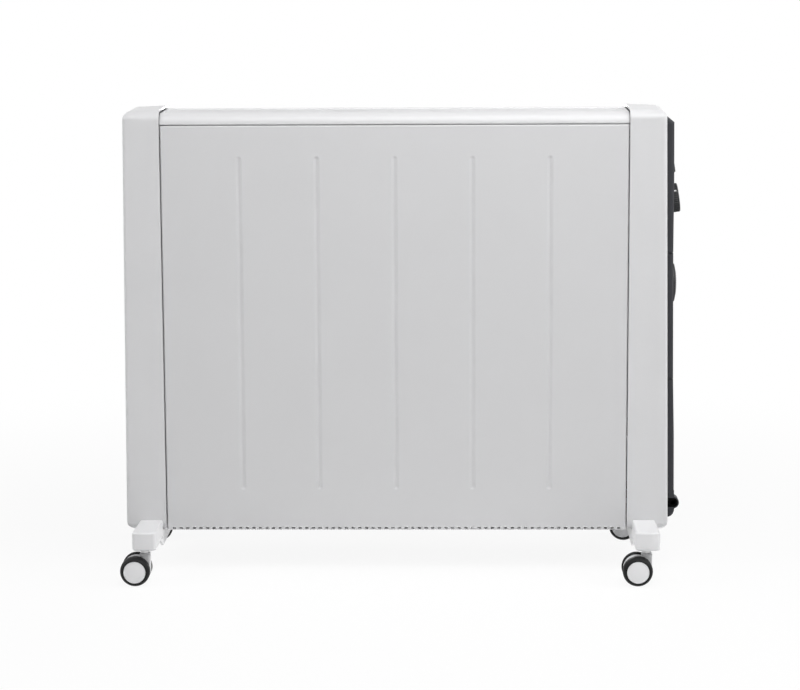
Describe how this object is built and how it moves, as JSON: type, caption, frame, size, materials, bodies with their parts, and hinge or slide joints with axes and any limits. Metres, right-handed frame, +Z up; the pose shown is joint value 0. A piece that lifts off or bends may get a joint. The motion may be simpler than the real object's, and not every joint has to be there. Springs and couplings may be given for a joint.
{
  "type": "oil filled panel heater",
  "caption": "Closed oil filled panel heater with grooved steel panels, a slotted top grille, end caps, a control strip with knob, timer dial and rockers, and swivelling twin-wheel casters.",
  "frame": {"origin": "on the floor, midway between the four caster stems", "axes": "+X along the heater towards the control side, +Y from the front panel to the rear panel, +Z up"},
  "size_m": [0.7557, 0.3105, 0.6289],
  "materials": {
    "white_enamel": "satin white enamel on pressed steel",
    "grille_enamel": "satin white enamel on pressed steel",
    "white_moulding": "smooth white moulding",
    "foot_moulding": "smooth white moulding",
    "caster_moulding": "white moulding",
    "hub_cap_moulding": "smooth white moulding",
    "wheel_plastic": "dull black",
    "dark_moulding": "dark grey, fine texture",
    "dark_knob": "dark grey, fine texture",
    "dark_rocker": "near black, smooth",
    "black_rubber": "dull black",
    "zinc_steel": "zinc plated",
    "screw_steel": "bright steel",
    "core_paint": "grey primer",
    "element_sheath": "heat-tinted steel",
    "brass": "turned brass",
    "phenolic": "brown-black moulded phenolic"
  },
  "bodies": {
    "heater": {"front_panel": "white_enamel", "rear_panel": "white_enamel", "top_grille": "grille_enamel", "left_end_cap": "white_moulding", "right_end_cap": "white_moulding", "left_end_frame": "zinc_steel", "right_end_frame": "zinc_steel", "casing_screws": "screw_steel", "oil_core": "core_paint", "oil_filler_plug": "brass", "heating_element": "element_sheath", "element_flange": "brass", "thermal_cutout": "phenolic", "terminal_block": "phenolic", "control_panel": "dark_moulding", "timer_panel": "dark_moulding", "lower_cover": "dark_moulding", "cord_gland": "black_rubber", "thermostat": "phenolic", "timer": "phenolic", "switch_housing": "phenolic", "left_foot_bracket": "foot_moulding", "right_foot_bracket": "foot_moulding", "foot_screws": "screw_steel", "caster_stems": "screw_steel"},
    "thermostat_control": {"thermostat_knob": "dark_knob", "thermostat_spindle": "screw_steel"},
    "timer_control": {"timer_dial": "dark_knob", "timer_spindle": "screw_steel"},
    "front_rocker": {"front_rocker": "dark_rocker"},
    "rear_rocker": {"rear_rocker": "dark_rocker"},
    "front_left_caster": {"front_left_caster_hood": "caster_moulding", "front_left_caster_axle": "screw_steel"},
    "front_left_outer_wheel": {"front_left_outer_wheel": "wheel_plastic", "front_left_outer_hub_cap": "hub_cap_moulding"},
    "front_left_inner_wheel": {"front_left_inner_wheel": "wheel_plastic", "front_left_inner_hub_cap": "hub_cap_moulding"},
    "front_right_caster": {"front_right_caster_hood": "caster_moulding", "front_right_caster_axle": "screw_steel"},
    "front_right_outer_wheel": {"front_right_outer_wheel": "wheel_plastic", "front_right_outer_hub_cap": "hub_cap_moulding"},
    "front_right_inner_wheel": {"front_right_inner_wheel": "wheel_plastic", "front_right_inner_hub_cap": "hub_cap_moulding"},
    "rear_left_caster": {"rear_left_caster_hood": "caster_moulding", "rear_left_caster_axle": "screw_steel"},
    "rear_left_outer_wheel": {"rear_left_outer_wheel": "wheel_plastic", "rear_left_outer_hub_cap": "hub_cap_moulding"},
    "rear_left_inner_wheel": {"rear_left_inner_wheel": "wheel_plastic", "rear_left_inner_hub_cap": "hub_cap_moulding"},
    "rear_right_caster": {"rear_right_caster_hood": "caster_moulding", "rear_right_caster_axle": "screw_steel"},
    "rear_right_outer_wheel": {"rear_right_outer_wheel": "wheel_plastic", "rear_right_outer_hub_cap": "hub_cap_moulding"},
    "rear_right_inner_wheel": {"rear_right_inner_wheel": "wheel_plastic", "rear_right_inner_hub_cap": "hub_cap_moulding"}
  },
  "joints": [
    {"name": "thermostat_turn", "type": "hinge", "parent": "heater", "child": "thermostat_control", "pos_m": [0.3838, 0, 0.5052], "axis": [0.9907, 0, 0.1357], "range_deg": [-205, 95]},
    {"name": "timer_turn", "type": "hinge", "parent": "heater", "child": "timer_control", "pos_m": [0.37518, 0, 0.3886], "axis": [1, 0, 0], "continuous": true},
    {"name": "front_rocker_tip", "type": "hinge", "parent": "heater", "child": "front_rocker", "pos_m": [0.36864, -0.009, 0.5532], "axis": [0, 1, 0], "range_deg": [0, 9]},
    {"name": "rear_rocker_tip", "type": "hinge", "parent": "heater", "child": "rear_rocker", "pos_m": [0.36864, 0.009, 0.5532], "axis": [0, 1, 0], "range_deg": [0, 9]},
    {"name": "front_left_swivel", "type": "hinge", "parent": "heater", "child": "front_left_caster", "pos_m": [-0.3355, -0.13, 0.0427], "axis": [0, 0, 1], "continuous": true},
    {"name": "front_left_outer_wheel_roll", "type": "hinge", "parent": "front_left_caster", "child": "front_left_outer_wheel", "pos_m": [-0.3475, -0.13, 0.02], "axis": [0, 1, 0], "continuous": true},
    {"name": "front_left_inner_wheel_roll", "type": "hinge", "parent": "front_left_caster", "child": "front_left_inner_wheel", "pos_m": [-0.3475, -0.13, 0.02], "axis": [0, 1, 0], "continuous": true},
    {"name": "front_right_swivel", "type": "hinge", "parent": "heater", "child": "front_right_caster", "pos_m": [0.3355, -0.13, 0.0427], "axis": [0, 0, 1], "continuous": true},
    {"name": "front_right_outer_wheel_roll", "type": "hinge", "parent": "front_right_caster", "child": "front_right_outer_wheel", "pos_m": [0.3235, -0.13, 0.02], "axis": [0, 1, 0], "continuous": true},
    {"name": "front_right_inner_wheel_roll", "type": "hinge", "parent": "front_right_caster", "child": "front_right_inner_wheel", "pos_m": [0.3235, -0.13, 0.02], "axis": [0, 1, 0], "continuous": true},
    {"name": "rear_left_swivel", "type": "hinge", "parent": "heater", "child": "rear_left_caster", "pos_m": [-0.3355, 0.13, 0.0427], "axis": [0, 0, 1], "continuous": true},
    {"name": "rear_left_outer_wheel_roll", "type": "hinge", "parent": "rear_left_caster", "child": "rear_left_outer_wheel", "pos_m": [-0.34737, 0.12823, 0.02], "axis": [-0.1478, 0.989, 0], "continuous": true},
    {"name": "rear_left_inner_wheel_roll", "type": "hinge", "parent": "rear_left_caster", "child": "rear_left_inner_wheel", "pos_m": [-0.34737, 0.12823, 0.02], "axis": [-0.1478, 0.989, 0], "continuous": true},
    {"name": "rear_right_swivel", "type": "hinge", "parent": "heater", "child": "rear_right_caster", "pos_m": [0.3355, 0.13, 0.0427], "axis": [0, 0, 1], "continuous": true},
    {"name": "rear_right_outer_wheel_roll", "type": "hinge", "parent": "rear_right_caster", "child": "rear_right_outer_wheel", "pos_m": [0.32376, 0.1325, 0.02], "axis": [0.2079, 0.9781, 0], "continuous": true},
    {"name": "rear_right_inner_wheel_roll", "type": "hinge", "parent": "rear_right_caster", "child": "rear_right_inner_wheel", "pos_m": [0.32376, 0.1325, 0.02], "axis": [0.2079, 0.9781, 0], "continuous": true}
  ]
}
